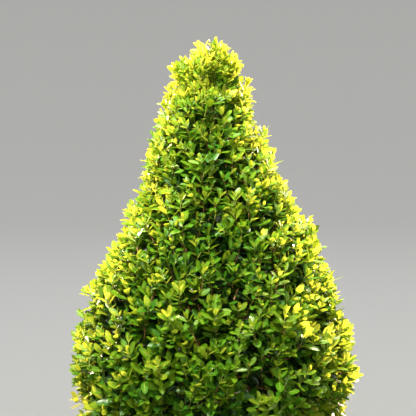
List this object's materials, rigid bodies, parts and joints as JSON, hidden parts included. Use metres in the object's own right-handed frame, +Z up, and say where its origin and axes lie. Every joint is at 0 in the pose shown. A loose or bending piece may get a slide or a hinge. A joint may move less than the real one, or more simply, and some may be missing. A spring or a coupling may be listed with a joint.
{
  "type": "boxwood cone topiary",
  "caption": "Evergreen shrub with small glossy leaves, clipped into a cone with a blunt top and a rounded skirt, rooted in the ground.",
  "frame": {"origin": "the middle of the flat cut under the trunk, at ground level", "axes": "+Z up along the leader, -Y towards the viewer of the front, +X to the viewer's right"},
  "size_m": [0.4886, 0.4981, 0.6976],
  "materials": {
    "bark": "grey-brown, finely ridged living bark, dry and matte",
    "foliage": "small mid green leaves with a waxy gloss and paler midribs",
    "fresh_foliage": "young yellow-green leaves with a waxy gloss"
  },
  "bodies": {
    "root": {"trunk": "bark", "bough_lower_front": "bark", "bough_lower_front_right": "bark", "bough_lower_back_right": "bark", "bough_lower_back": "bark", "bough_lower_back_left": "bark", "bough_lower_front_left": "bark", "bough_upper_front": "bark", "bough_upper_right": "bark", "bough_upper_back": "bark", "bough_upper_left": "bark", "foliage_lower_front": "foliage", "foliage_lower_front_right": "foliage", "foliage_lower_back_right": "foliage", "foliage_lower_back": "foliage", "foliage_lower_back_left": "foliage", "foliage_lower_front_left": "foliage", "foliage_upper_front": "foliage", "foliage_upper_right": "foliage", "foliage_upper_back": "foliage", "foliage_upper_left": "foliage", "foliage_top": "fresh_foliage"}
  },
  "joints": []
}
